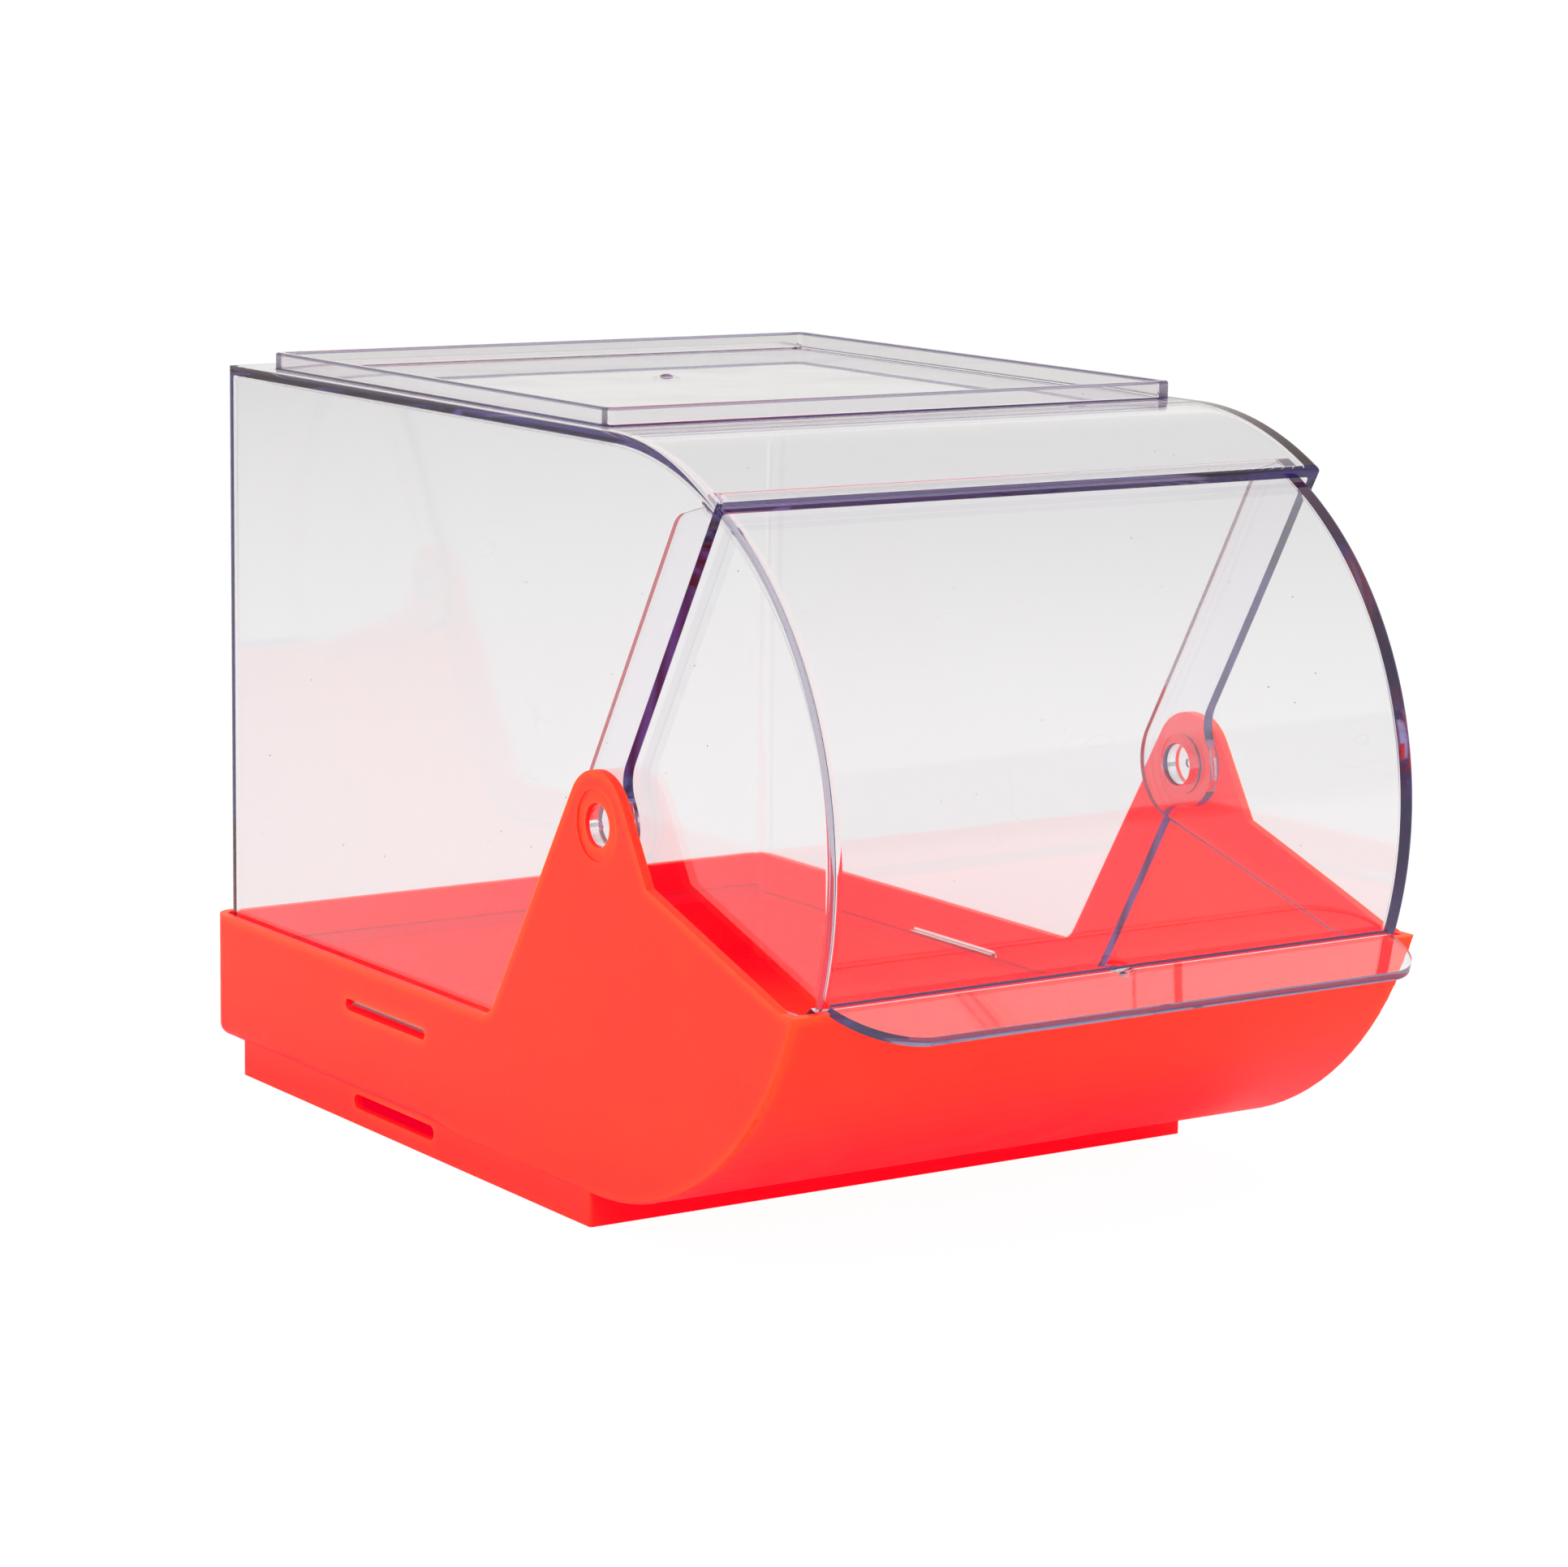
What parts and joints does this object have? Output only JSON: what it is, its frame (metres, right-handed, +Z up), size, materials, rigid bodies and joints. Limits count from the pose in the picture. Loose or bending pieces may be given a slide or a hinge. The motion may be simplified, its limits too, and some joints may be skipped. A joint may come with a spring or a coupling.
{
  "type": "stackable bulk sweet dispenser bin",
  "caption": "Stackable bulk sweet bin: a clear hopper with a lift-up curved scoop door, held in a red tray by hinge pins and side snaps.",
  "frame": {"origin": "on the table, under the middle of the whole outline", "axes": "+X to the right seen from the front, +Y to the back, +Z up; the scoop lip points along -Y"},
  "size_m": [0.2, 0.3348, 0.216],
  "materials": {
    "red_plastic": "moulded, glossy, slightly translucent",
    "clear_plastic": "clear moulded plastic with a violet tint at the edges, polished"
  },
  "bodies": {
    "bin": {"tray": "red_plastic", "hopper": "clear_plastic", "left_pin": "clear_plastic", "right_pin": "clear_plastic"},
    "scoop_door": {"door": "clear_plastic"}
  },
  "joints": [
    {"name": "door_hinge", "type": "hinge", "parent": "bin", "child": "scoop_door", "pos_m": [0, -0.05205, 0.1086], "axis": [-1, 0, 0], "range_deg": [0, 76]}
  ]
}
